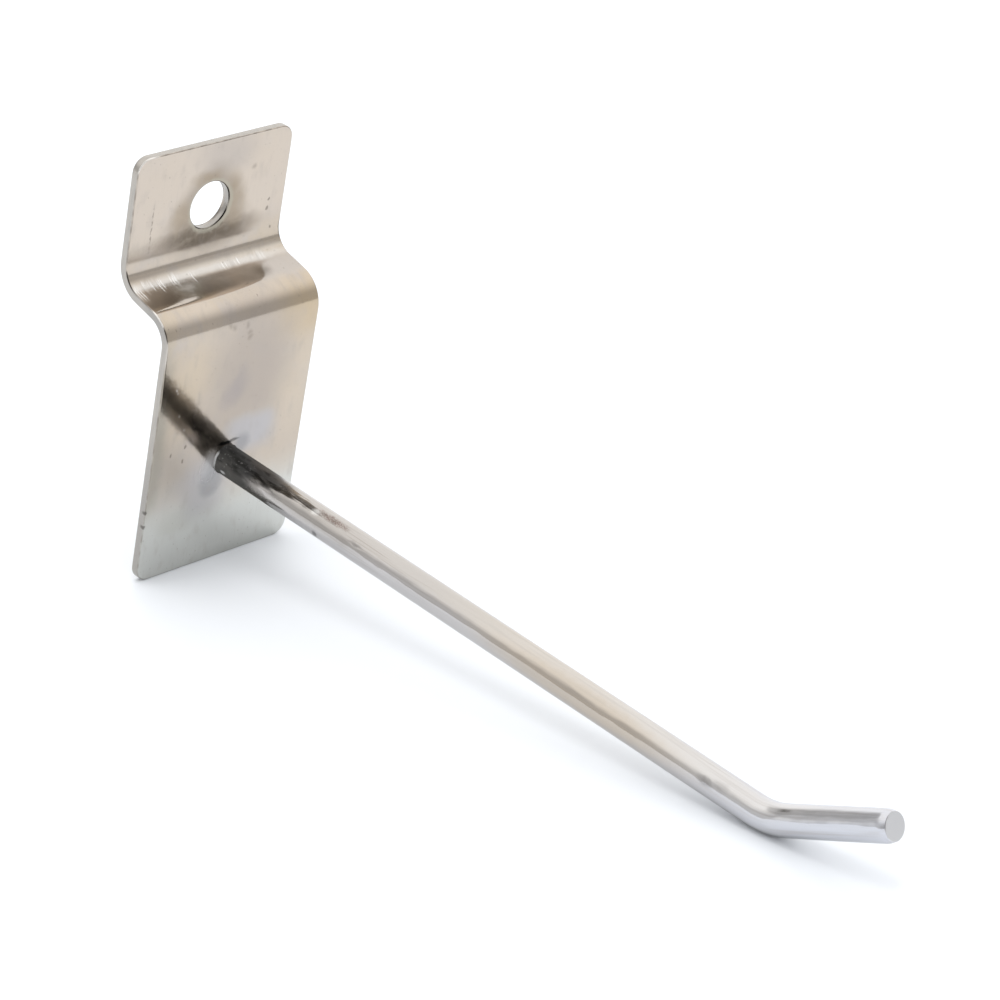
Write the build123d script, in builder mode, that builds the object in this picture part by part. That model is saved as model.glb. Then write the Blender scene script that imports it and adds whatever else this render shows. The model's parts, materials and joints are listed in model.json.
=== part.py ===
from build123d import *
import math
import os

# Display hook for a slotted panel. A folded steel plate slips its tongue up behind the lip of the
# panel and lies flat against the panel's front, and a round wire arm is butt welded square to the
# plate and turned up at its free end. Goods hang on the arm.
# Frame: +Z up, the panel towards +Y, the arm towards -Y. The origin lies on the back face of the
# plate, in the middle of its width and level with the arm's axis. Millimetres and degrees.

# Plate, cut from one strip of sheet
plate_width = 39.0
sheet_thickness = 1.7
corner_radius = 3.0
edge_rounding = 0.25
plate_below_arm = 22.3

# Step fold that sets the tongue back behind the panel's lip
fold_height = 31.9
fold_angle = 77.5
bend_inside_radius = 5.0
step_back = 13.75
tongue_top = 61.4

# Round hole punched through the tongue
hole_diameter = 9.6
hole_below_top = 13.1
hole_rim_rounding = 0.3

# Arm, one bent length of drawn wire
arm_diameter = 6.0
arm_reach = 140.5
arm_bend_radius = 14.0
tip_length = 27.2
tip_angle = 29.0
end_chamfer_depth = 0.4
end_chamfer_length = 1.3

# Collar of metal squeezed out at the weld
flash_width = 0.3
flash_height = 0.4
flash_slope = 30.0


# Back plate: the line of its back face, thickened to the front and carried across the width.
# Both folds share one inside radius, so the back line takes the inside radius at the lower fold
# and the outside radius at the upper one.
fold_rise = step_back / math.tan(math.radians(fold_angle))
bend_outside_radius = bend_inside_radius + sheet_thickness

with BuildPart() as back_plate:
    with BuildSketch(Plane.YZ):
        with BuildLine() as plate_section:
            FilletPolyline(
                (0, -plate_below_arm),
                (0, fold_height),
                (step_back, fold_height + fold_rise),
                (step_back, tongue_top),
                radius=[bend_inside_radius, bend_outside_radius],
            )
            offset(amount=sheet_thickness, side=Side.LEFT)
        make_face()
    extrude(amount=plate_width / 2, both=True)

    # The four corners of the strip are rounded through the sheet
    fillet(back_plate.edges().filter_by(Axis.Y), corner_radius)

    # The cut edges are broken all round, front and back, but not the lines where the folds begin
    through_edges = back_plate.edges().filter_by(Axis.Y)
    fold_lines = back_plate.edges().filter_by(Axis.X).filter_by(
        lambda edge: edge.length > plate_width - corner_radius
    )
    fillet(back_plate.edges() - through_edges - fold_lines, edge_rounding)

    # The hole's front rim is drawn in by the punch
    with Locations(Plane((0, step_back, tongue_top - hole_below_top), x_dir=(1, 0, 0), z_dir=(0, 1, 0))):
        Hole(hole_diameter / 2)
    hole_rims = back_plate.edges(Select.LAST).filter_by(GeomType.CIRCLE)
    fillet(hole_rims.sort_by(Axis.Y)[0], hole_rim_rounding)
back_plate.part.label = "back_plate"


# Arm: a round section swept along two straight runs and the bend between them. It starts on the
# plate's front face, where the collar of flash stands round its root.
tip_forward = tip_length * math.cos(math.radians(tip_angle))
tip_rise = tip_length * math.sin(math.radians(tip_angle))

with BuildPart() as arm:
    with BuildLine(Plane.YZ) as arm_axis:
        FilletPolyline(
            (-sheet_thickness, 0),
            (-sheet_thickness - arm_reach, 0),
            (-sheet_thickness - arm_reach - tip_forward, tip_rise),
            radius=arm_bend_radius,
        )
    with BuildSketch(Plane(arm_axis.line @ 0, z_dir=arm_axis.line % 0)):
        Circle(arm_diameter / 2)
    sweep()
    end_face = arm.faces().sort_by(Axis.Y)[0]
    chamfer(end_face.edges(), end_chamfer_depth, end_chamfer_length, reference=end_face)
    with BuildSketch(Plane.XZ.offset(sheet_thickness)):
        Circle(arm_diameter / 2 + flash_width)
    extrude(amount=flash_height, taper=flash_slope)
arm.part.label = "arm"


os.makedirs("parts", exist_ok=True)
export_step(back_plate.part, "parts/back_plate.step")
export_step(arm.part, "parts/arm.step")
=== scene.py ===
import json
import math

import bpy
import numpy as np
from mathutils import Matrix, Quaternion, Vector


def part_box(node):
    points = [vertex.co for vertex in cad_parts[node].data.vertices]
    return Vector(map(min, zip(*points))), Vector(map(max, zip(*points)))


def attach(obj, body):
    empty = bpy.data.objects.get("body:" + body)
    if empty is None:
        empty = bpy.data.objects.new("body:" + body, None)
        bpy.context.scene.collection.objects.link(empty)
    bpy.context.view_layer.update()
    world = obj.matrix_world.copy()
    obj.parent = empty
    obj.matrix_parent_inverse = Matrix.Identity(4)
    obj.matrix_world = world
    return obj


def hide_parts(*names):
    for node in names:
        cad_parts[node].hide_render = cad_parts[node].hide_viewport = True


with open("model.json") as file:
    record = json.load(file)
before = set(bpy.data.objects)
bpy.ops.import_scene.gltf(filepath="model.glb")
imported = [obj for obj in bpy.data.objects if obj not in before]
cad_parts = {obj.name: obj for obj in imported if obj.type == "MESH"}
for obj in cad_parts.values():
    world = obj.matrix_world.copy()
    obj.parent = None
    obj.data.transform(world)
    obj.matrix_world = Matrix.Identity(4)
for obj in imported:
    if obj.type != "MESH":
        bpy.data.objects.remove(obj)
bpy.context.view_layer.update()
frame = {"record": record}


# Back plate
# One strip of sheet steel with rounded corners, punched with one hole and folded twice into a step.
# It is nickel plated after welding, and handling has left it hazy, smudged and finely scratched.
# Sizes are in millimetres. s runs up the strip before folding, h stands out of it to the front.
metres = 0.001
plate_low, plate_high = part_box("back_plate")
plate_width = (plate_high.x - plate_low.x) / metres
sheet = -plate_low.y / metres
plate_bottom = plate_low.z / metres
plate_top = plate_high.z / metres
step_back = plate_high.y / metres
hole_mount = next(m for m in frame["record"]["mounts"] if m["name"] == "screw_hole")
hole_radius = hole_mount["dims"]["r_mm"]
hole_height = hole_mount["pos_m"][2] / metres
fold_height = 31.9
fold_angle = math.radians(77.5)
bend_inside_radius = 5.0
corner_radius = 3.0
edge_rounding = 0.25
hole_rim_rounding = 0.3

bend_radius = bend_inside_radius + sheet / 2
bend_run = bend_radius * fold_angle
half_turn = math.tan(fold_angle / 2)
lower_flat = fold_height - bend_inside_radius * half_turn - plate_bottom
web = step_back / math.sin(fold_angle) - 2 * bend_radius * half_turn
upper_flat_height = fold_height + step_back / math.tan(fold_angle) + (bend_inside_radius + sheet) * half_turn
upper_flat = plate_top - upper_flat_height
web_start = lower_flat + bend_run
web_end = web_start + web
tongue_start = web_end + bend_run
strip_length = tongue_start + upper_flat
hole_along = tongue_start + hole_height - upper_flat_height


def folded_sheet(x, s, h):
    """Point of the folded strip: the sheet's middle line goes straight up, turns back through one arc, runs
    along the web, turns up through an equal arc and goes straight up again; h is laid off square to it."""
    first = np.clip((s - lower_flat) / bend_radius, 0, fold_angle)
    second = np.clip((s - web_end) / bend_radius, 0, fold_angle)
    along_web = np.clip(s - web_start, 0, web)
    lean = first - second
    y = -sheet / 2 + bend_radius * (1 - np.cos(first)) + along_web * math.sin(fold_angle)
    y = y + bend_radius * (np.cos(fold_angle - second) - math.cos(fold_angle))
    z = plate_bottom + np.minimum(s, lower_flat) + np.maximum(s - tongue_start, 0)
    z = z + bend_radius * np.sin(first) + along_web * math.cos(fold_angle)
    z = z + bend_radius * (math.sin(fold_angle) - np.sin(fold_angle - second))
    return np.stack([x, y - h * np.cos(lean), z + h * np.sin(lean)], -1)


def rows_between(start, end, count):
    """Evenly spaced stations from start up to, but not including, end."""
    return np.linspace(start, end, count, endpoint=False)


def grid_quads(rows, columns, closed=False):
    """Corner numbers of the quads of a rows by columns grid of points, closed into a tube if asked."""
    number = np.arange(rows * columns).reshape(rows, columns)
    if closed:
        number = np.concatenate([number, number[:, :1]], 1)
    corners = [number[:-1, :-1], number[:-1, 1:], number[1:, 1:], number[1:, :-1]]
    return np.stack([c.ravel() for c in corners], -1)


# Stations of the skin. The window round the hole is a square of whole cells, left out of the grid and
# filled by rings that pass from the square to the round rim.
skin_margin = 0.15
skin_inset = edge_rounding + skin_margin
skin_corner = corner_radius - skin_inset
columns = 48
flat_rows = 50
bend_rows = 22
web_rows = 6
rows_below_window = 4
rows_above_window = 5
cell = (plate_width - 2 * skin_inset) / columns
window_cells = 18
window = window_cells * cell / 2
corner_turn = rows_between(0, math.pi / 2, 8)
corner_rows = skin_inset + skin_corner * (1 - np.cos(corner_turn))
stations = np.concatenate([
    corner_rows,
    rows_between(skin_inset + skin_corner, lower_flat, flat_rows),
    rows_between(lower_flat, web_start, bend_rows),
    rows_between(web_start, web_end, web_rows),
    rows_between(web_end, tongue_start, bend_rows),
    rows_between(tongue_start, hole_along - window, rows_below_window),
    rows_between(hole_along - window, hole_along + window, window_cells),
    rows_between(hole_along + window, strip_length - skin_inset - skin_corner, rows_above_window),
    (strip_length - corner_rows)[::-1],
])
from_end = np.minimum(stations, strip_length - stations) - skin_inset
into_corner = np.clip(skin_corner - from_end, 0, skin_corner)
half_width = plate_width / 2 - skin_inset - skin_corner + np.sqrt(skin_corner ** 2 - into_corner ** 2)
skin_x = np.linspace(-1, 1, columns + 1)[None, :] * half_width[:, None]
skin_s = np.repeat(stations[:, None], columns + 1, 1)
first_window_row = int(np.argmin(np.abs(stations - (hole_along - window))))
first_window_column = (columns - window_cells) // 2
skin_quads = grid_quads(len(stations), columns + 1)
quad_row, quad_column = np.divmod(np.arange(len(skin_quads)), columns)
in_window = (quad_row >= first_window_row) & (quad_row < first_window_row + window_cells)
in_window &= (quad_column >= first_window_column) & (quad_column < first_window_column + window_cells)
skin_quads = skin_quads[~in_window]


def loop_of(grid):
    """The border of a grid of values, once round anticlockwise from its first corner."""
    return np.concatenate([grid[0, :-1], grid[:-1, -1], grid[-1, :0:-1], grid[:0:-1, 0]])


# Border of the whole skin, with the direction that points out of the strip there
border_x, border_s = loop_of(skin_x), loop_of(skin_s)
centre_x = np.clip(border_x, corner_radius - plate_width / 2, plate_width / 2 - corner_radius)
centre_s = np.clip(border_s, corner_radius, strip_length - corner_radius)
outward = np.stack([border_x - centre_x, border_s - centre_s], -1)
outward = outward / np.linalg.norm(outward, axis=1, keepdims=True)

# Section of the cut edge, front to back: how far out of the skin's border, and how high
quarter_turn = np.linspace(0, math.pi / 2, 6)
edge_out = skin_margin + edge_rounding * np.sin(quarter_turn)
edge_out = np.concatenate([[0], edge_out, edge_out[::-1], [0]])
edge_high = sheet / 2 - edge_rounding + edge_rounding * np.cos(quarter_turn)
edge_high = np.concatenate([[sheet / 2], edge_high, -edge_high[::-1], [-sheet / 2]])
edge_x = border_x[None, :] + edge_out[:, None] * outward[None, :, 0]
edge_s = border_s[None, :] + edge_out[:, None] * outward[None, :, 1]
edge_h = np.repeat(edge_high[:, None], len(border_x), 1)

# Rings from the window's border in to the hole's rim, then through the wall to the back skin
window_rows = slice(first_window_row, first_window_row + window_cells + 1)
window_columns = slice(first_window_column, first_window_column + window_cells + 1)
window_x = loop_of(skin_x[window_rows, window_columns])
window_s = loop_of(skin_s[window_rows, window_columns])
angle = np.arctan2(window_s - hole_along, window_x)
ring_share = np.linspace(0, 1, 11)[:, None]
rim_margin = 0.1
back_rim_break = 0.05
front_rim = hole_radius + hole_rim_rounding + rim_margin
back_rim = hole_radius + back_rim_break + rim_margin
wall_radius = np.concatenate([
    [front_rim],
    hole_radius + hole_rim_rounding * (1 - np.sin(quarter_turn)),
    [hole_radius, hole_radius, hole_radius + back_rim_break, back_rim],
])
wall_high = np.concatenate([
    [sheet / 2],
    sheet / 2 - hole_rim_rounding * (1 - np.cos(quarter_turn)),
    [0, back_rim_break - sheet / 2, -sheet / 2, -sheet / 2],
])


def ring_to_rim(rim):
    """Straight blend, ring by ring, from the square window's border to a circle of radius rim."""
    x = (1 - ring_share) * window_x[None] + ring_share * rim * np.cos(angle)[None]
    s = (1 - ring_share) * window_s[None] + ring_share * (hole_along + rim * np.sin(angle)[None])
    return x, s


front_ring_x, front_ring_s = ring_to_rim(front_rim)
back_ring_x, back_ring_s = ring_to_rim(back_rim)
wall_x = wall_radius[:, None] * np.cos(angle)[None]
wall_s = hole_along + wall_radius[:, None] * np.sin(angle)[None]
wall_h = np.repeat(wall_high[:, None], len(angle), 1)

# Patches: coordinates across, along and out of the strip, with the quads that join them
skin_h = np.full_like(skin_x, sheet / 2)
ring_h = np.full_like(front_ring_x, sheet / 2)
ring_quads = grid_quads(*ring_h.shape, closed=True)
patches = [
    (skin_x, skin_s, skin_h, skin_quads),
    (skin_x, skin_s, -skin_h, skin_quads[:, ::-1]),
    (edge_x, edge_s, edge_h, grid_quads(*edge_x.shape, closed=True)[:, ::-1]),
    (front_ring_x, front_ring_s, ring_h, ring_quads),
    (back_ring_x, back_ring_s, -ring_h, ring_quads[:, ::-1]),
    (wall_x, wall_s, wall_h, grid_quads(*wall_x.shape, closed=True)),
]


def joined_patches(patches, same_place=1e-4):
    """All patches as one list of points and quads, with points that share a cell of same_place made one."""
    points = np.concatenate([np.stack([a.ravel(), b.ravel(), c.ravel()], -1) for a, b, c, _ in patches])
    offsets = np.cumsum([0] + [a.size for a, _, _, _ in patches])[:-1]
    quads = np.concatenate([q + start for (_, _, _, q), start in zip(patches, offsets)])
    cells = np.round(points / same_place).astype(np.int64)
    _, kept, place = np.unique(cells, axis=0, return_index=True, return_inverse=True)
    return points[kept], place.ravel()[quads]


def new_attribute(mesh, name, values):
    """Keeps a number or a vector for each point of a mesh, under a name that a material can read."""
    kind, field = ("FLOAT_VECTOR", "vector") if values.ndim == 2 else ("FLOAT", "value")
    attribute = mesh.attributes.new(name, kind, "POINT")
    attribute.data.foreach_set(field, values.ravel().astype(np.float32))


def new_piece(name, points, faces, flow):
    """Mesh object from points in millimetres and faces. flow keeps each point's place on the unbent stock."""
    mesh = bpy.data.meshes.new(name)
    mesh.from_pydata((points * metres).tolist(), [], faces)
    new_attribute(mesh, "stock", flow)
    mesh.shade_smooth()
    mesh.validate()
    piece = bpy.data.objects.new(name, mesh)
    bpy.context.scene.collection.objects.link(piece)
    return piece


strip_points, strip_quads = joined_patches(patches)
plate_points = folded_sheet(strip_points[:, 0], strip_points[:, 1], strip_points[:, 2])
plate = new_piece("folded_plate", plate_points, strip_quads.tolist(), strip_points)
across, along, out = strip_points.T
below_skin = sheet / 2 - np.abs(out)
skin_tolerance = 0.001
rim_share = 0.8
new_attribute(plate.data, "cut", np.clip(below_skin / edge_rounding, 0, 1))
new_attribute(plate.data, "rim", (below_skin > skin_tolerance) & (below_skin < rim_share * edge_rounding))

# The sheet is drawn slightly out of true by the folding and the weld. Only the shading normals of its front
# lean for that. The form stays square, but the lean steers what the bright skin mirrors.
weld_lean = math.radians(8.0)
weld_tilt = math.radians(1.6)
web_lean = math.radians(6.5)
heel_lean = math.radians(8.0)


def soft_step(low, high, value):
    """0 up to low, 1 from high on, and an easy S between; with low above high it falls instead."""
    share = np.clip((value - low) / (high - low), 0, 1)
    return share * share * (3 - 2 * share)


def soft_span(value, start, full_from, full_to, end):
    """0 before start and past end, 1 from full_from to full_to, and an easy S on both sides."""
    return soft_step(start, full_from, value) * soft_step(end, full_to, value)


on_front = out > sheet / 2 - skin_tolerance
left_of_weld = on_front * soft_step(18, -4, across) * soft_span(along, 2, 12, 47, 53)
on_web = on_front * soft_span(along, web_start - 2.4, web_start + 0.6, web_end - 4.0, web_end - 0.3)
on_heel = on_front * soft_span(along, web_end + 2, web_end + 5, tongue_start - 3.0, tongue_start - 0.2)
normals = np.empty(3 * len(strip_points))
plate.data.vertices.foreach_get("normal", normals)
normals = normals.reshape(-1, 3)
normals[:, 0] -= math.tan(weld_lean) * left_of_weld
normals[:, 2] += math.tan(weld_tilt) * left_of_weld
turn = web_lean * on_web - heel_lean * on_heel
turned_y = normals[:, 1] * np.cos(turn) + normals[:, 2] * np.sin(turn)
turned_z = normals[:, 2] * np.cos(turn) - normals[:, 1] * np.sin(turn)
normals = np.stack([normals[:, 0], turned_y, turned_z], -1)
normals /= np.linalg.norm(normals, axis=1, keepdims=True)
plate.data.normals_split_custom_set_from_vertices(normals.tolist())


def add_node(tree, kind, **settings):
    """New node of a kind in a node tree, with its settings."""
    node = tree.nodes.new(kind)
    for name, value in settings.items():
        setattr(node, name, value)
    return node


def new_group(name, inputs):
    """Empty node group with named inputs and one number as output. Gives the tree and its two ends."""
    tree = bpy.data.node_groups.new(name, "ShaderNodeTree")
    for label, kind in inputs:
        tree.interface.new_socket(label, in_out="INPUT", socket_type="NodeSocket" + kind)
    tree.interface.new_socket("Amount", in_out="OUTPUT", socket_type="NodeSocketFloat")
    return tree, add_node(tree, "NodeGroupInput"), add_node(tree, "NodeGroupOutput")


def worn_patch_group():
    """Marks one worn place: full inside an egg-shaped reach round a centre and nothing outside it. The border
    is softened by the edge, a share of the reach, and wanders by the ragged distance in millimetres, along
    those of the three axes that the wander vector lets it."""
    waves_in_ragged = 0.6
    tree, given, result = new_group("worn_patch", (
        ("Place", "Vector"), ("Centre", "Vector"), ("Reach", "Vector"), ("Wander", "Vector"),
        ("Edge", "Float"), ("Ragged", "Float"), ("Strength", "Float")))
    link = tree.links.new
    wander = add_node(tree, "ShaderNodeTexNoise")
    wander.inputs["Detail"].default_value = 2.0
    link(given.outputs["Place"], wander.inputs["Vector"])
    fineness = add_node(tree, "ShaderNodeMath", operation="DIVIDE")
    fineness.inputs[0].default_value = waves_in_ragged
    link(given.outputs["Ragged"], fineness.inputs[1])
    link(fineness.outputs["Value"], wander.inputs["Scale"])
    middle = add_node(tree, "ShaderNodeVectorMath", operation="SUBTRACT")
    middle.inputs[1].default_value = (0.5, 0.5, 0.5)
    link(wander.outputs["Color"], middle.inputs[0])
    moved = add_node(tree, "ShaderNodeVectorMath", operation="SCALE")
    link(middle.outputs["Vector"], moved.inputs[0])
    link(given.outputs["Ragged"], moved.inputs["Scale"])
    placed = add_node(tree, "ShaderNodeVectorMath", operation="MULTIPLY_ADD")
    link(moved.outputs["Vector"], placed.inputs[0])
    link(given.outputs["Wander"], placed.inputs[1])
    link(given.outputs["Place"], placed.inputs[2])
    away = add_node(tree, "ShaderNodeVectorMath", operation="SUBTRACT")
    link(placed.outputs["Vector"], away.inputs[0])
    link(given.outputs["Centre"], away.inputs[1])
    share = add_node(tree, "ShaderNodeVectorMath", operation="DIVIDE")
    link(away.outputs["Vector"], share.inputs[0])
    link(given.outputs["Reach"], share.inputs[1])
    distance = add_node(tree, "ShaderNodeVectorMath", operation="LENGTH")
    link(share.outputs["Vector"], distance.inputs[0])
    inner = add_node(tree, "ShaderNodeMath", operation="SUBTRACT")
    inner.inputs[0].default_value = 1.0
    link(given.outputs["Edge"], inner.inputs[1])
    outer = add_node(tree, "ShaderNodeMath", operation="ADD")
    outer.inputs[0].default_value = 1.0
    link(given.outputs["Edge"], outer.inputs[1])
    fall = add_node(tree, "ShaderNodeMapRange", interpolation_type="SMOOTHSTEP")
    link(distance.outputs["Value"], fall.inputs["Value"])
    link(inner.outputs["Value"], fall.inputs["From Min"])
    link(outer.outputs["Value"], fall.inputs["From Max"])
    link(given.outputs["Strength"], fall.inputs["To Min"])
    fall.inputs["To Max"].default_value = 0.0
    link(fall.outputs["Result"], result.inputs["Amount"])
    return tree


def clouds_group():
    """Marks drifting clouds: soft noise of the given size in millimetres, cut between two of its levels."""
    tree, given, result = new_group("clouds", (
        ("Place", "Vector"), ("Stretch", "Vector"), ("Detail", "Float"), ("Low", "Float"), ("High", "Float"),
        ("Strength", "Float")))
    link = tree.links.new
    shrunk = add_node(tree, "ShaderNodeVectorMath", operation="DIVIDE")
    link(given.outputs["Place"], shrunk.inputs[0])
    link(given.outputs["Stretch"], shrunk.inputs[1])
    drift = add_node(tree, "ShaderNodeTexNoise")
    drift.inputs["Scale"].default_value = 1.0
    link(shrunk.outputs["Vector"], drift.inputs["Vector"])
    link(given.outputs["Detail"], drift.inputs["Detail"])
    cut = add_node(tree, "ShaderNodeMapRange", interpolation_type="SMOOTHSTEP")
    link(drift.outputs["Fac"], cut.inputs["Value"])
    link(given.outputs["Low"], cut.inputs["From Min"])
    link(given.outputs["High"], cut.inputs["From Max"])
    cut.inputs["To Min"].default_value = 0.0
    link(given.outputs["Strength"], cut.inputs["To Max"])
    link(cut.outputs["Result"], result.inputs["Amount"])
    return tree


worn_patch = worn_patch_group()
clouds = clouds_group()


def mark(tree, group, place, **values):
    """Amount of one worn patch or cloud at a place."""
    node = add_node(tree, "ShaderNodeGroup", node_tree=group)
    tree.links.new(place, node.inputs["Place"])
    for name, value in values.items():
        node.inputs[name].default_value = value
    return node.outputs["Amount"]


def tinted(tree, under, colour, amount):
    """A colour passed over to another one by an amount."""
    mix = add_node(tree, "ShaderNodeMix", data_type="RGBA")
    tree.links.new(amount, mix.inputs["Factor"])
    if isinstance(under, tuple):
        mix.inputs["A"].default_value = under
    else:
        tree.links.new(under, mix.inputs["A"])
    mix.inputs["B"].default_value = colour
    return mix.outputs["Result"]


def most(tree, amounts):
    """The largest of several amounts."""
    result = amounts[0]
    for amount in amounts[1:]:
        larger = add_node(tree, "ShaderNodeMath", operation="MAXIMUM")
        tree.links.new(result, larger.inputs[0])
        tree.links.new(amount, larger.inputs[1])
        result = larger.outputs["Value"]
    return result


def both(tree, first, second):
    """Product of two amounts."""
    node = add_node(tree, "ShaderNodeMath", operation="MULTIPLY")
    tree.links.new(first, node.inputs[0])
    tree.links.new(second, node.inputs[1])
    return node.outputs["Value"]


def ranged(tree, none, full, amount):
    """Value that passes from none to full as an amount goes from 0 to 1."""
    node = add_node(tree, "ShaderNodeMapRange")
    node.inputs["To Min"].default_value = none
    node.inputs["To Max"].default_value = full
    tree.links.new(amount, node.inputs["Value"])
    return node.outputs["Result"]


def relief(tree, waves, hollows, depth):
    """Normal of a skin that waves up and down by a depth in metres and is sunk at its hollows."""
    height = add_node(tree, "ShaderNodeMath", operation="SUBTRACT")
    tree.links.new(waves, height.inputs[0])
    tree.links.new(hollows, height.inputs[1])
    bump = add_node(tree, "ShaderNodeBump")
    bump.inputs["Strength"].default_value = 1.0
    bump.inputs["Distance"].default_value = depth
    tree.links.new(height.outputs["Value"], bump.inputs["Height"])
    return bump.outputs["Normal"]


plate_nickel = bpy.data.materials.new("plate_nickel")
plate_nickel.use_nodes = True
tree = plate_nickel.node_tree
plate_shader = tree.nodes["Principled BSDF"]
stock = add_node(tree, "ShaderNodeAttribute", attribute_name="stock").outputs["Vector"]
front = sheet / 2


def worn(x, s, reach_x, reach_s, strength, edge=0.5, ragged=2.0, h=front, reach_h=0.8):
    """Worn patch of the plate, x across and s along the strip, and on its front unless h says otherwise."""
    return mark(tree, worn_patch, stock, Centre=(x, s, h), Reach=(reach_x, reach_s, reach_h),
                Wander=(1, 1, 0), Edge=edge, Ragged=ragged, Strength=strength)


def drifting(size_x, size_s, low, high, strength, detail=1.0, size_h=30.0):
    """Clouds all over the plate, of a size across, along and out of the strip."""
    return mark(tree, clouds, stock, Stretch=(size_x, size_s, size_h), Detail=detail,
                Low=low, High=high, Strength=strength)


# Thin film of the plating: warm, drifting to yellow and to lilac
yellow_drift = drifting(12.0, 16.0, 0.42, 0.68, 0.8, detail=2.0)
lilac_drift = drifting(6.0, 8.0, 0.46, 0.7, 0.85, detail=4.0)
colour = tinted(tree, (0.65, 0.565, 0.475, 1), (0.63, 0.53, 0.405, 1), yellow_drift)
colour = tinted(tree, colour, (0.60, 0.54, 0.49, 1), lilac_drift)

# Stains and painted light, roughly from the top down: pale tongue with a grey top, grey web with painted
# pale and darker places in the dark ellipse it mirrors, a painted gleam and a painted dark line under the
# tongue, yellowed fold and sides, dull middle with a lilac smudge, dark left edge, a grey bottom brightened
# to offset the table's shadow that it mirrors, and painted shade along the middle of the bottom edge
stains_and_painted_light = [
    ((0.70, 0.612, 0.525, 1), worn(0, 84, 30, 13, 0.8, edge=0.3, ragged=3)),
    ((0.56, 0.50, 0.45, 1), worn(3, 89, 7, 4, 0.7, edge=0.6, ragged=3)),
    ((0.545, 0.495, 0.45, 1), worn(0, 61, 30, 3.4, 0.85, edge=0.35, ragged=1)),
    # Painted pale and darker places in the dark ellipse that the web mirrors
    ((0.64, 0.62, 0.61, 1), worn(-3, 60.8, 4.5, 2.2, 0.8, edge=0.5, ragged=1)),
    ((0.40, 0.37, 0.335, 1), worn(-8.2, 61.4, 2.4, 1.6, 0.8, edge=0.6, ragged=1)),
    ((0.42, 0.385, 0.345, 1), worn(7.5, 60.4, 3.6, 2.2, 0.8, edge=0.4, ragged=1)),
    ((0.22, 0.19, 0.16, 1), worn(10.3, 60.6, 1.8, 1.3, 0.65, edge=0.8, ragged=0.8)),
    # Painted gleam across the step, and a painted dark line under the tongue
    ((0.80, 0.765, 0.72, 1), worn(-3, 64.4, 22, 1.3, 0.8, edge=0.5, ragged=1)),
    ((0.76, 0.69, 0.61, 1), worn(6, 66.2, 20, 0.9, 0.7, edge=0.6, ragged=0.8)),
    ((0.46, 0.41, 0.36, 1), worn(0, 67.8, 30, 0.35, 0.5, edge=0.7, ragged=0.4)),
    ((0.64, 0.515, 0.36, 1), worn(15, 50.5, 7, 5, 0.8, edge=0.6, ragged=3)),
    ((0.72, 0.61, 0.475, 1), worn(-11, 44, 6, 5, 0.6, edge=0.7, ragged=4)),
    ((0.73, 0.63, 0.51, 1), worn(15, 37, 6, 9, 0.6, edge=0.7, ragged=4)),
    ((0.52, 0.455, 0.40, 1), worn(3.5, 41, 10, 14, 0.85, edge=0.6, ragged=5)),
    ((0.42, 0.385, 0.37, 1), worn(1.3, 38.8, 1.9, 3.2, 0.5, edge=0.7, ragged=3)),
    ((0.44, 0.40, 0.385, 1), worn(-1.0, 36.6, 2.2, 2.6, 0.5, edge=0.7, ragged=3)),
    ((0.50, 0.455, 0.41, 1), worn(-14, 22, 6, 6, 0.5, edge=0.6, ragged=4)),
    ((0.40, 0.385, 0.33, 1), worn(-19.5, 28, 2.6, 22, 0.6, edge=0.6, ragged=1.5)),
    # Grey bottom, brightened to offset the table's shadow that it mirrors
    ((0.75, 0.755, 0.715, 1), worn(0, -4, 80, 20, 1.0, edge=0.35, ragged=5)),
    ((0.60, 0.595, 0.54, 1), worn(-11, 11.6, 4.5, 3.0, 0.6, edge=0.7, ragged=3)),
    # Painted shade along the middle of the bottom edge
    ((0.42, 0.43, 0.40, 1), worn(4, -0.6, 13, 2.4, 0.3, edge=0.6, ragged=1.5)),
]
# Some of these patches are painted highlights and painted shade, as listed above
for patch_tone, amount in stains_and_painted_light:
    colour = tinted(tree, colour, patch_tone, amount)

# Weld: a pale bloom over the heated skin, grey smudges and a dark seam over the arm. The burn on its left and
# the tiny chips above that have lost their shine.
bloom = most(tree, [
    worn(5.8, 27.2, 6.5, 4.2, 0.85, edge=0.45, ragged=7),
    worn(-5.0, 17.5, 6.5, 6.5, 0.7, edge=0.6, ragged=6),
])
colour = tinted(tree, colour, (0.57, 0.555, 0.565, 1), bloom)
smudge = most(tree, [
    worn(-3.2, 18.4, 2.8, 3.0, 0.6, edge=0.35, ragged=3),
    worn(3.6, 24.8, 1.6, 2.2, 0.65, edge=0.6, ragged=2),
])
colour = tinted(tree, colour, (0.36, 0.36, 0.37, 1), smudge)
seam = most(tree, [
    worn(-0.7, 26.0, 1.9, 0.42, 1.0, edge=0.5, ragged=0.8),
    worn(1.3, 26.2, 1.4, 0.3, 0.75, edge=0.6, ragged=0.8),
])
colour = tinted(tree, colour, (0.06, 0.06, 0.06, 1), seam)
chip_places = [(-15.5, 41.4), (-15.2, 40.6), (-14.0, 35.6), (-12.3, 31.9)]
chips = [worn(x, s, 0.15, 0.32, 0.55, edge=0.6, ragged=1.2) for x, s in chip_places]
burn = most(tree, chips + [worn(-4.5, 21.6, 2.2, 2.8, 0.75, edge=0.7, ragged=3)])
colour = tinted(tree, colour, (0.46, 0.46, 0.465, 1), burn)
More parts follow.
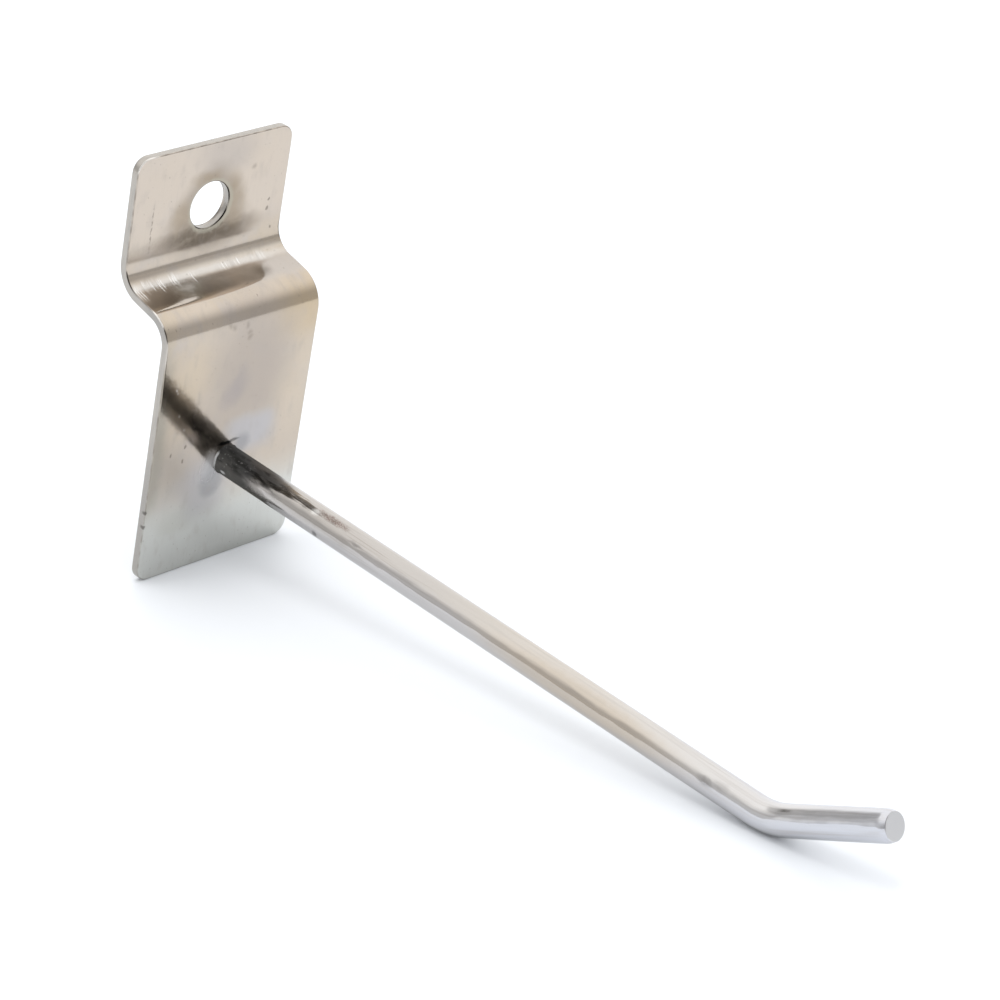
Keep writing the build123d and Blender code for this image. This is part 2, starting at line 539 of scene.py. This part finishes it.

# Hole: rubbed bright close to the rim, and ringed by mottled grime that thickens below and browns beside it.
# The thick part below the hole and the band over the tongue's foot are partly painted shade, where the
# tongue mirrors the dark web.
grime_and_painted_shade = most(tree, [
    worn(0, hole_along, 7.2, 7.6, 0.5, edge=0.35, ragged=3),
    worn(-0.5, hole_along - 5.0, 8.5, 4.0, 0.85, edge=0.7, ragged=3),
    worn(0.2, tongue_start + 2.4, 11.2, 2.6, 0.95, edge=0.55, ragged=2.5),
])
colour = tinted(tree, colour, (0.205, 0.167, 0.128, 1), grime_and_painted_shade)
mottle = drifting(1.8, 1.4, 0.45, 0.75, 0.35, detail=4.0)
colour = tinted(tree, colour, (0.60, 0.52, 0.42, 1), both(tree, grime_and_painted_shade, mottle))
browned = most(tree, [
    worn(-7.2, hole_along - 1.0, 2.0, 3.0, 0.5, edge=0.8, ragged=3),
    worn(-1.5, hole_along + 6.0, 3.2, 1.2, 0.5, edge=0.8, ragged=2),
    worn(5.6, hole_along + 3.4, 1.6, 2.4, 0.45, edge=0.8, ragged=2),
    worn(6.9, hole_along - 1.0, 2.2, 3.8, 0.45, edge=0.8, ragged=2.5),
])
colour = tinted(tree, colour, (0.36, 0.28, 0.185, 1), browned)
rubbed = worn(0.25, hole_along - 0.2, 5.6, 5.6, 0.6, edge=0.07, ragged=0.7)
colour = tinted(tree, colour, (0.50, 0.47, 0.38, 1), rubbed)

# Step: the folding tool has left bundles of fine bright drag marks across it and a few deeper cuts by
# themselves. A painted sheen lies at the left end of the bundles.
drag_lines = drifting(0.13, 45.0, 0.55, 0.66, 1.0)
drag_places = [
    (-18.8, 63.6, 0.9, 2.2), (-16.7, 64.0, 1.0, 1.8), (-14.8, 64.2, 0.8, 1.7), (-13.0, 63.9, 0.7, 1.5),
    (-9.5, 63.9, 1.3, 2.0), (-5.0, 63.5, 0.7, 1.7), (-3.4, 62.0, 0.7, 0.9), (3.1, 64.2, 0.9, 1.0),
    (6.7, 64.5, 0.8, 0.9), (12.2, 64.3, 1.6, 1.4),
]
drag_bundles = most(tree, [worn(x, s, rx, rs, 1.0, edge=0.4, ragged=1.5) for x, s, rx, rs in drag_places])
# Painted sheen at the left end of the drag marks
painted_drag_sheen = worn(-18.7, 62.8, 1.1, 2.0, 0.55, edge=0.7, ragged=1.2)
drag_cut_places = [
    (-19.1, 63.2, 1.7), (-18.6, 62.9, 1.8), (-18.0, 62.7, 1.5), (-14.8, 64.0, 1.2), (-13.2, 63.5, 1.5),
    (-12.4, 63.9, 1.2), (-9.6, 64.0, 1.1), (-9.0, 64.1, 1.0), (-5.0, 63.6, 1.5),
]
drag_cuts = [worn(x, s, 0.12, reach, 0.9, edge=0.6, ragged=0.3) for x, s, reach in drag_cut_places]
drag_cuts = most(tree, drag_cuts)
drag_marks_and_sheen = most(tree, [both(tree, drag_lines, drag_bundles), painted_drag_sheen, drag_cuts])
colour = tinted(tree, colour, (0.95, 0.93, 0.90, 1), drag_marks_and_sheen)

# Handling: smears, hairlines and specks all over, a few pits and scuffs, and one long broken scratch
smears = drifting(2.2, 4.5, 0.5, 0.78, 0.3, detail=4.0)
colour = tinted(tree, colour, (0.47, 0.425, 0.385, 1), smears)
hairlines = drifting(0.3, 22.0, 0.62, 0.8, 0.3, detail=2.0)
colour = tinted(tree, colour, (0.46, 0.41, 0.365, 1), hairlines)
specks = drifting(0.55, 0.65, 0.70, 0.78, 0.45)
pit_places = [(-11.2, 28.1), (-14.9, 27.0), (-11.5, 24.9), (15.5, 76.7), (15.3, 74.8), (16.9, 70.4)]
scuff_places = [(-3.6, 51.7), (-2.6, 51.4), (0.9, 51.0), (1.9, 48.6), (1.6, 49.6), (10.4, 84.5)]
pits = most(tree, [worn(x, s, 0.26, 0.4, 0.75, edge=0.4, ragged=0.8) for x, s in pit_places])
scuffs = most(tree, [worn(x, s, 0.5, 0.5, 0.4, edge=0.9, ragged=1.2) for x, s in scuff_places])
broken = drifting(0.6, 0.8, 0.42, 0.56, 1.0)
scratch = both(tree, broken, worn(-14.3, 76.2, 0.17, 5.2, 0.65, edge=0.4, ragged=0.6))
colour = tinted(tree, colour, (0.26, 0.225, 0.19, 1), most(tree, [specks, pits, scuffs, scratch]))

# Cut edges: greyer, where the shears have dulled the steel, unevenly and most of all low on the left, at the
# fold and in the hole. The rounded rim carries painted shade in patches and a painted highlight at the top
# left corner and down the left of the fold, and is caked with grime in three places on the hole. There are
# nicks low on the left, and painted shade in the inner right corner of the upper bend.
cut = add_node(tree, "ShaderNodeAttribute", attribute_name="cut").outputs["Fac"]
rim = add_node(tree, "ShaderNodeAttribute", attribute_name="rim").outputs["Fac"]
colour = tinted(tree, colour, (0.54, 0.505, 0.46, 1), cut)
dulled = most(tree, [
    drifting(1.2, 2.6, 0.4, 0.75, 0.5, detail=3.0, size_h=0.6),
    worn(-19.5, 6, 3, 22, 0.85, edge=0.4, ragged=3, h=0, reach_h=3),
    worn(-19.5, 56, 3, 4.5, 0.85, edge=0.4, ragged=3, h=0, reach_h=3),
    worn(0, hole_along, 6, 6, 0.85, edge=0.4, ragged=3, h=0, reach_h=3),
])
colour = tinted(tree, colour, (0.42, 0.40, 0.375, 1), both(tree, cut, dulled))
# Painted shade in patches along the rounded rim
rim_shade_patches = drifting(1.6, 2.2, 0.3, 0.65, 0.7, detail=3.0, size_h=0.8)
colour = tinted(tree, colour, (0.27, 0.24, 0.205, 1), both(tree, rim, rim_shade_patches))
# Painted highlight on the rim at the top left corner and down the left of the fold
painted_rim_highlight = both(tree, rim, most(tree, [
    worn(-17.6, strip_length - 1.0, 3.0, 2.0, 0.8, edge=0.4, ragged=0.8),
    worn(-19.4, 56.3, 0.9, 1.8, 0.85, edge=0.4, ragged=0.8),
    worn(-19.4, 49.8, 0.9, 2.8, 0.35, edge=0.5, ragged=0.8),
]))
colour = tinted(tree, colour, (0.95, 0.91, 0.86, 1), painted_rim_highlight)
caked = most(tree, [
    worn(4.7, hole_along + 1.6, 0.9, 1.8, 0.9, edge=0.4, ragged=0.6),
    worn(3.9, hole_along - 2.8, 1.2, 1.3, 1.0, edge=0.4, ragged=0.6),
    worn(-2.4, hole_along - 4.2, 0.9, 0.8, 0.8, edge=0.4, ragged=0.6),
])
colour = tinted(tree, colour, (0.05, 0.045, 0.04, 1), both(tree, rim, caked))
nicks_and_corner_shade = most(tree, [
    worn(-19.4, 12.5, 0.32, 0.4, 0.8, edge=0.5, ragged=0.5),
    worn(-19.4, 15.6, 0.32, 0.4, 0.8, edge=0.5, ragged=0.5),
    # Painted shade in the inner right corner of the upper bend
    worn(19.3, 69.6, 0.4, 1.8, 0.6),
])
colour = tinted(tree, colour, (0.12, 0.11, 0.10, 1), nicks_and_corner_shade)
tree.links.new(colour, plate_shader.inputs["Base Color"])

# Shine: bright metal, matt where it is burned or cut and under the painted rim highlight, and hazy in the
# upper bend and right of the middle
matt = most(tree, [burn, drag_cuts, painted_rim_highlight])
tree.links.new(ranged(tree, 1.0, 0.25, matt), plate_shader.inputs["Metallic"])
hazed = most(tree, [
    worn(0, web_end + 1.4, 40, 2.0, 1.0, edge=0.5, ragged=1),
    worn(0, tongue_start + 1.2, 40, 2.0, 1.0, edge=0.6, ragged=1),
    worn(11, 37, 8, 13, 1.0, edge=0.5, ragged=3),
])
dull = most(tree, [smears, bloom, burn, drag_marks_and_sheen, cut, hazed])
tree.links.new(ranged(tree, 0.10, 0.26, dull), plate_shader.inputs["Roughness"])
ripple_depth = 0.015 * metres
ripple = add_node(tree, "ShaderNodeTexNoise")
ripple.inputs["Scale"].default_value = 0.35
ripple.inputs["Detail"].default_value = 2.0
tree.links.new(stock, ripple.inputs["Vector"])
plate_normal = relief(tree, ripple.outputs["Fac"], most(tree, [pits, scuffs]), ripple_depth)
tree.links.new(plate_normal, plate_shader.inputs["Normal"])

plate.data.materials.append(plate_nickel)
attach(plate, "root")
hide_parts("back_plate")


# Arm
# One length of drawn steel wire, bent up near its end, its end turned to a small chamfer. Its root is
# butt welded to the plate and ringed by a thin collar of squeezed-out metal. Nickel plated and rubbed.
arm_radius = 3.0
arm_reach = 140.5
arm_bend_radius = 14.0
tip_length = 27.2
tip_angle = math.radians(29.0)
end_chamfer_depth = 0.4
end_chamfer_length = 1.3
chamfer_ease = 0.25
flash_width = 0.24
flash_height = 0.45

bend_back = arm_bend_radius * math.tan(tip_angle / 2)
straight = arm_reach - bend_back
bend_length = arm_bend_radius * tip_angle
arm_length = straight + bend_length + tip_length - bend_back


def wire_point(a, radius, around):
    """Point on the bent wire: a runs along its axis, which goes straight out, turns up through one arc and
    goes straight on; radius and around place the point square to the axis there."""
    turn = np.clip((a - straight) / arm_bend_radius, 0, tip_angle)
    beyond = np.maximum(a - straight - bend_length, 0)
    out = np.minimum(a, straight) + arm_bend_radius * np.sin(turn) + beyond * math.cos(tip_angle)
    rise = arm_bend_radius * (1 - np.cos(turn)) + beyond * math.sin(tip_angle)
    across, up = radius * np.cos(around), radius * np.sin(around)
    return np.stack([across, -sheet - out + up * np.sin(turn), rise + up * np.cos(turn)], -1)


# Stations along the wire, closest over the collar and at the end, whose last edge is broken by a hair
flash_run = 1.2
flash_rows = 8
straight_rows = 140
arm_bend_rows = 24
tip_rows = 26
chamfer_lead = 1.0
chamfer_rows = 14
before_end = np.array([0.1, 0.03, 0.0])
edge_drop = np.array([0.0, 0.02, 0.07])
turns = rows_between(0, 2 * math.pi, 96)
chamfer_start = arm_length - end_chamfer_length
arm_stations = np.concatenate([
    rows_between(0, flash_run, flash_rows),
    rows_between(flash_run, straight, straight_rows),
    rows_between(straight, straight + bend_length, arm_bend_rows),
    rows_between(straight + bend_length, chamfer_start - chamfer_lead, tip_rows),
    rows_between(chamfer_start - chamfer_lead, arm_length - before_end[0], chamfer_rows),
    arm_length - before_end,
])
past_chamfer = (arm_stations - chamfer_start) / end_chamfer_length
chamfer_share = (past_chamfer + np.sqrt(past_chamfer ** 2 + chamfer_ease ** 2)) / 2
station_radius = arm_radius - end_chamfer_depth * chamfer_share
station_radius[-len(edge_drop):] -= edge_drop

# The collar falls away along the wire, and its width is uneven round it, as a sum of three sine waves
flash_uneven = 0.5 + 0.25 * np.sin(3 * turns + 0.7) + 0.17 * np.sin(7 * turns + 2.1)
flash_uneven = np.clip(flash_uneven + 0.1 * np.sin(13 * turns + 4.0), 0.05, 1)
flash_fall = np.clip(1 - arm_stations / flash_height, 0, 1) ** 2
wire_radius = station_radius[:, None] + flash_width * flash_fall[:, None] * flash_uneven[None]
wire_along = np.repeat(arm_stations[:, None], len(turns), 1)

# Rings close both ends, each a share of the last radius
end_rings = np.array([0.985, 0.85, 0.7, 0.52, 0.35, 0.18, 0.02])[:, None]
end_radius = end_rings * wire_radius[-1:]
root_radius = end_rings[::-1] * wire_radius[:1]
wire_radius = np.concatenate([root_radius, wire_radius, end_radius])
wire_along = np.concatenate([np.zeros_like(root_radius), wire_along, np.full_like(end_radius, arm_length)])
wire_around = np.repeat(turns[None], len(wire_radius), 0)
wire_points = wire_point(wire_along.ravel(), wire_radius.ravel(), wire_around.ravel())

# The place on the stock is drawn together over the end face, so that the skin's streaks stop at its edge
end_face_depth = 0.04
end_flow = 0.1
on_end = wire_along > arm_length - end_face_depth
flow_radius = np.where(on_end, end_flow, 1) * wire_radius
wire_flow = np.stack([flow_radius * np.cos(wire_around), wire_along, flow_radius * np.sin(wire_around)], -1)
wire_faces = grid_quads(*wire_radius.shape, closed=True).tolist()
first_ring = np.arange(len(turns))
last_ring = first_ring + wire_radius.size - len(turns)
wire_faces += [first_ring[::-1].tolist(), last_ring.tolist()]
arm = new_piece("bent_arm", wire_points, wire_faces, wire_flow.reshape(-1, 3))
new_attribute(arm.data, "cut", on_end.ravel())

arm_nickel = bpy.data.materials.new("arm_nickel")
arm_nickel.use_nodes = True
tree = arm_nickel.node_tree
arm_shader = tree.nodes["Principled BSDF"]
wire = add_node(tree, "ShaderNodeAttribute", attribute_name="stock").outputs["Vector"]


def along_arm(middle, reach, strength, edge=0.6, ragged=4.0):
    """Worn length of the arm round a middle, all the way about it."""
    all_about = 20 * arm_radius
    return mark(tree, worn_patch, wire, Centre=(0, middle, 0), Reach=(all_about, reach, all_about),
                Wander=(1, 1, 1), Edge=edge, Ragged=ragged, Strength=strength)


def on_arm(a, around, reach_a, reach_around, strength, edge=0.5, ragged=1.0):
    """Worn patch on the arm's skin, a along it and around it in degrees."""
    turn = math.radians(around)
    centre = (arm_radius * math.cos(turn), a, arm_radius * math.sin(turn))
    return mark(tree, worn_patch, wire, Centre=centre, Reach=(reach_around, reach_a, reach_around),
                Wander=(1, 1, 1), Edge=edge, Ragged=ragged, Strength=strength)


def streaked(size_around, size_a, low, high, strength, detail=1.0):
    """Clouds all over the arm, of a size around it and along it."""
    return mark(tree, clouds, wire, Stretch=(size_around, size_a, size_around), Detail=detail,
                Low=low, High=high, Strength=strength)


# Plating: warm along the middle, cool and clean towards the tip, and greyer below. A painted sheen lies on
# top, and a painted warm band runs along the upper left where the dark line it mirrors lies. Streaks of the
# drawing run all along it, and finer ones score its first part.
tones_and_painted_light = [
    ((0.635, 0.58, 0.515, 1), along_arm(95, 26, 0.9)),
    ((0.72, 0.73, 0.775, 1), along_arm(180, 56, 1.0)),
    ((0.635, 0.62, 0.62, 1), on_arm(55, 200, 60, 2.6, 0.8)),
    # Painted sheen on top
    ((0.76, 0.73, 0.695, 1), on_arm(118, 120, 42, 2.0, 0.7)),
    ((0.48, 0.45, 0.415, 1), on_arm(25, 152, 16, 1.5, 0.6)),
    # Painted warm band along the dark line the arm mirrors
    ((0.60, 0.515, 0.415, 1), on_arm(97, 160, 22, 2.6, 0.7)),
]
colour = (0.605, 0.57, 0.535, 1)
for tone, amount in tones_and_painted_light:
    colour = tinted(tree, colour, tone, amount)
drawn = streaked(0.8, 26.0, 0.42, 0.78, 0.4, detail=3.0)
colour = tinted(tree, colour, (0.50, 0.46, 0.42, 1), drawn)
scored = streaked(0.22, 16.0, 0.57, 0.72, 0.4)
colour = tinted(tree, colour, (0.40, 0.355, 0.32, 1), both(tree, scored, along_arm(26, 28, 1.0)))

# Root: darkened by the weld's heat, further along on the left and on top, and dull with scale next to the
# plate. The scale is paler below, scorched in streaks and flaking on top. A small patch on the left is
# frosted. A painted highlight lies along the collar's left lip, and a small spot below it is painted bright.
heated = most(tree, [
    along_arm(0, 5.5, 1.0, edge=0.5, ragged=4.0),
    on_arm(2, 155, 8.8, 4.6, 1.0, edge=0.2, ragged=2.0),
    on_arm(6, 95, 11.5, 2.8, 0.9, edge=0.35, ragged=2.0),
])
colour = tinted(tree, colour, (0.155, 0.152, 0.15, 1), heated)
scale = most(tree, [
    along_arm(0, 4.0, 1.0, edge=0.5, ragged=4.0),
    on_arm(1, 155, 8.4, 4.4, 1.0, edge=0.25, ragged=3.0),
])
colour = tinted(tree, colour, (0.06, 0.06, 0.058, 1), scale)
colour = tinted(tree, colour, (0.135, 0.13, 0.12, 1), on_arm(2, 192, 6, 2.4, 0.8, edge=0.6, ragged=1.5))
frosted = on_arm(13.2, 169, 4.2, 1.1, 0.6, edge=0.5, ragged=0.8)
colour = tinted(tree, colour, (0.52, 0.495, 0.475, 1), frosted)
scorched = streaked(0.9, 4.0, 0.42, 0.62, 0.85, detail=3.0)
scorch_places = most(tree, [on_arm(7, 128, 11, 2.0, 1.0, ragged=1.5), on_arm(1.5, 140, 2.4, 2.4, 1.0)])
colour = tinted(tree, colour, (0.022, 0.021, 0.02, 1), both(tree, scorched, scorch_places))
flecks = streaked(0.45, 0.6, 0.62, 0.76, 0.38)
flaking = most(tree, [on_arm(7, 115, 14, 1.4, 0.8), on_arm(3.5, 150, 3.0, 1.6, 0.8)])
colour = tinted(tree, colour, (0.5, 0.49, 0.48, 1), both(tree, flecks, flaking))
# Painted highlight on the collar's left lip, and a small painted bright spot below it
lip_highlight = most(tree, [
    on_arm(0.1, 170, 0.28, 1.8, 0.6, edge=0.3, ragged=0.5),
    on_arm(2.5, 200, 0.6, 0.35, 0.7, edge=0.5, ragged=0.4),
])
colour = tinted(tree, colour, (0.9, 0.9, 0.9, 1), lip_highlight)

# Tool marks: a brown chafed run, a bright chip, a nick below, one dent further on and two where the wire
# was gripped for its bend. The nick and the dents are also painted dark, as shade in them. The end face is
# cut clean.
chafed = streaked(0.22, 0.3, 0.3, 0.6, 1.0)
chafed = both(tree, chafed, on_arm(31.2, 112, 3.8, 0.75, 0.9, edge=0.5, ragged=0.8))
colour = tinted(tree, colour, (0.24, 0.17, 0.14, 1), chafed)
colour = tinted(tree, colour, (0.85, 0.83, 0.80, 1), on_arm(26.8, 122, 0.9, 0.7, 0.8, edge=0.5, ragged=0.6))
# The nick and the dents, painted dark as shade in them
dents_with_painted_shade = most(tree, [
    on_arm(28.4, 203, 0.6, 0.7, 0.8, edge=0.5, ragged=0.8),
    on_arm(127.3, 158, 1.5, 0.6, 0.4, edge=0.8, ragged=0.8),
    on_arm(130.5, 142, 1.4, 0.7, 0.2, edge=0.8, ragged=0.8),
    on_arm(38.5, 144, 1.4, 0.4, 0.35, edge=0.7, ragged=0.9),
])
colour = tinted(tree, colour, (0.18, 0.17, 0.17, 1), dents_with_painted_shade)
end_face = add_node(tree, "ShaderNodeAttribute", attribute_name="cut").outputs["Fac"]
colour = tinted(tree, colour, (0.84, 0.835, 0.84, 1), end_face)
tree.links.new(colour, arm_shader.inputs["Base Color"])

# Shine: matt under the scale and the frost, rough where it was heated or cut, and softly waved all along
tree.links.new(ranged(tree, 1.0, 0.3, most(tree, [scale, frosted])), arm_shader.inputs["Metallic"])
dull = most(tree, [both(tree, drawn, drawn), heated, end_face])
tree.links.new(ranged(tree, 0.13, 0.42, dull), arm_shader.inputs["Roughness"])
wave_depth = 0.12 * metres
waves = streaked(4.0, 11.0, 0.2, 0.8, 1.0, detail=2.0)
tree.links.new(relief(tree, waves, dents_with_painted_shade, wave_depth), arm_shader.inputs["Normal"])

arm.data.materials.append(arm_nickel)
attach(arm, "root")
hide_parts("arm")


# Floor
# A plain white table top. The unhung hook leans on it, on the front of its bottom edge and on the
# underside of the arm's bend, so the table stands tilted in the hook's own frame.
lean_reach = math.hypot(straight, arm_bend_radius - plate_bottom)
lean_start = math.atan2(straight, arm_bend_radius - plate_bottom)
floor_tilt = math.acos((arm_bend_radius + arm_radius) / lean_reach) - lean_start
floor_radius = 1.2
floor_up = Vector((0, math.sin(floor_tilt), math.cos(floor_tilt)))
floor_touch = Vector((0, -sheet * metres, plate_bottom * metres))
floor_side = floor_radius * np.cos(turns)
floor_out = floor_radius * np.sin(turns)
floor_rim = np.stack([
    floor_side,
    floor_touch.y + floor_out * floor_up.z,
    floor_touch.z - floor_out * floor_up.y,
], -1)
floor_mesh = bpy.data.meshes.new("table_top")
floor_mesh.from_pydata(floor_rim.tolist(), [], [tuple(range(len(floor_rim)))])
floor = bpy.data.objects.new("table_top", floor_mesh)
bpy.context.scene.collection.objects.link(floor)


def eased(tree, value, low, high, low_value, high_value):
    """Passes smoothly from low_value to high_value as a value goes from low to high."""
    ramp = add_node(tree, "ShaderNodeMapRange", interpolation_type="SMOOTHSTEP")
    ends = {"From Min": low, "From Max": high, "To Min": low_value, "To Max": high_value}
    for name, end in ends.items():
        ramp.inputs[name].default_value = end
    tree.links.new(value, ramp.inputs["Value"])
    return ramp.outputs["Result"]


# White to the eye, a little darker in the metal, and dark where the metal mirrors it a second time
table_white = bpy.data.materials.new("table_white")
table_white.use_nodes = True
tree = table_white.node_tree
table_shader = tree.nodes["Principled BSDF"]
table_shader.inputs["Roughness"].default_value = 0.7
table_shader.inputs["Specular IOR Level"].default_value = 0.2
table_ray = add_node(tree, "ShaderNodeLightPath")
between_once_and_twice = 1.5
twice = add_node(tree, "ShaderNodeMath", operation="GREATER_THAN")
twice.inputs[1].default_value = between_once_and_twice
tree.links.new(table_ray.outputs["Glossy Depth"], twice.inputs[0])
white = (0.86, 0.885, 0.92, 1)
colour = tinted(tree, white, (0.735, 0.756, 0.786, 1), table_ray.outputs["Is Glossy Ray"])
colour = tinted(tree, colour, (0.22, 0.22, 0.22, 1), twice.outputs["Value"])
tree.links.new(colour, table_shader.inputs["Base Color"])

# It fades out towards its rim, and does not show from below
fade_start = 0.3
fade_end = 1.15
table_place = add_node(tree, "ShaderNodeTexCoord")
table_reach = add_node(tree, "ShaderNodeVectorMath", operation="LENGTH")
tree.links.new(table_place.outputs["Object"], table_reach.inputs[0])
table_fade = eased(tree, table_reach.outputs["Value"], fade_start, fade_end, 1.0, 0.0)
table_side = add_node(tree, "ShaderNodeNewGeometry")
table_seen = add_node(tree, "ShaderNodeMath", operation="SUBTRACT", use_clamp=True)
tree.links.new(table_fade, table_seen.inputs[0])
tree.links.new(table_side.outputs["Backfacing"], table_seen.inputs[1])
tree.links.new(table_seen.outputs["Value"], table_shader.inputs["Alpha"])
floor_mesh.materials.append(table_white)


# Light
# A bright tent over and behind the hook, with a dim band above the table's rim and a dark room on the
# side the camera stands. The band and the room only show mirrored in the metal.
world = bpy.data.worlds.new("studio")
bpy.context.scene.world = world
world.use_nodes = True
tree = world.node_tree
tent = tree.nodes["Background"]
tent.inputs["Color"].default_value = (1, 1, 1, 1)
tent_direction = add_node(tree, "ShaderNodeTexCoord").outputs["Generated"]


def facing(direction, low, high, low_value, high_value):
    """Brightness that passes smoothly from low_value to high_value as the looked-at direction turns towards
    the given one; low and high are cosines of the angle between them."""
    cosine = add_node(tree, "ShaderNodeVectorMath", operation="DOT_PRODUCT")
    cosine.inputs[1].default_value = Vector(direction).normalized()
    tree.links.new(tent_direction, cosine.inputs[0])
    return eased(tree, cosine.outputs["Value"], low, high, low_value, high_value)


# What the metal mirrors: the band, open at its foot and brightened by three sides of the tent, dimmed towards
# the room and along a strip behind the plate
band_top = facing(floor_up, 0.25, 0.75, 0.55, 1.1)
band_foot = facing(floor_up - Vector((0, 0.06, 0)), -0.08, -0.03, 1.0, 0.0)
right_side = facing((0.8, 0.55, 0.25), 0.55, 0.9, 0.0, 1.12)
back_side = facing((-0.5, 0.85, -0.15), 0.93, 0.975, 0.0, 0.9)
left_side = facing((-0.86, 0.5, 0.1), 0.85, 0.97, 0.0, 0.64)
band = most(tree, [band_top, band_foot, right_side, back_side, left_side])
room = facing((-0.5, -0.68, 0.53), 0.3, 0.9, 1.0, 0.12)
dim_strip = facing((-0.12, 0.93, 0.33), 0.93, 0.985, 1.0, 0.64)
mirrored = both(tree, both(tree, band, room), dim_strip)

# Matt surfaces are lit by an even tent, and behind the hook the camera sees plain white
even_tent = 1.15
backdrop = 1.0
tent_ray = add_node(tree, "ShaderNodeLightPath")
tent_on_matt = add_node(tree, "ShaderNodeMix")
tree.links.new(tent_ray.outputs["Is Diffuse Ray"], tent_on_matt.inputs["Factor"])
tree.links.new(mirrored, tent_on_matt.inputs["A"])
tent_on_matt.inputs["B"].default_value = even_tent
tent_brightness = add_node(tree, "ShaderNodeMix")
tree.links.new(tent_ray.outputs["Is Camera Ray"], tent_brightness.inputs["Factor"])
tree.links.new(tent_on_matt.outputs["Result"], tent_brightness.inputs["A"])
tent_brightness.inputs["B"].default_value = backdrop
tree.links.new(tent_brightness.outputs["Result"], tent.inputs["Strength"])

lamp_aim = Vector((0, -0.07, 0))


def tent_lamp(name, place, size, energy):
    """Round soft lamp at a place, aimed at the middle of the arm and unseen in the metal."""
    lamp_data = bpy.data.lights.new(name, "AREA")
    lamp_data.shape = "DISK"
    lamp_data.size = size
    lamp_data.energy = energy
    lamp = bpy.data.objects.new(name, lamp_data)
    lamp.location = place
    lamp.rotation_mode = "QUATERNION"
    lamp.rotation_quaternion = (lamp_aim - lamp.location).to_track_quat("-Z", "Y")
    lamp.visible_glossy = False
    lamp.visible_camera = False
    bpy.context.scene.collection.objects.link(lamp)


# One lamp hangs over the table, a larger one stands low behind the hook to the right
tent_lamp("lamp_above", (-0.25, 0.07, 1.05), 0.5, 2.0)
tent_lamp("lamp_behind", (0.6, 0.65, 0.42), 0.9, 1.9)


# Camera
# It stands to the front left and above, where the photograph was taken, and is rolled a little because
# the hook leans on the table.
camera_place = Vector((-0.42698, -0.41334, 0.33021))
camera_aim = Vector((0.03663, -0.04097, 0.00035))
camera_roll = math.radians(10.98)
camera_data = bpy.data.cameras.new("camera")
camera_data.sensor_width = 36.0
camera_data.lens = 126.2
camera = bpy.data.objects.new("camera", camera_data)
camera.location = camera_place
camera.rotation_mode = "QUATERNION"
camera_turn = (camera_aim - camera_place).to_track_quat("-Z", "Y")
camera.rotation_quaternion = camera_turn @ Quaternion((0, 0, 1), camera_roll)
bpy.context.scene.collection.objects.link(camera)
bpy.context.scene.camera = camera
bpy.context.scene.view_settings.view_transform = "Standard"
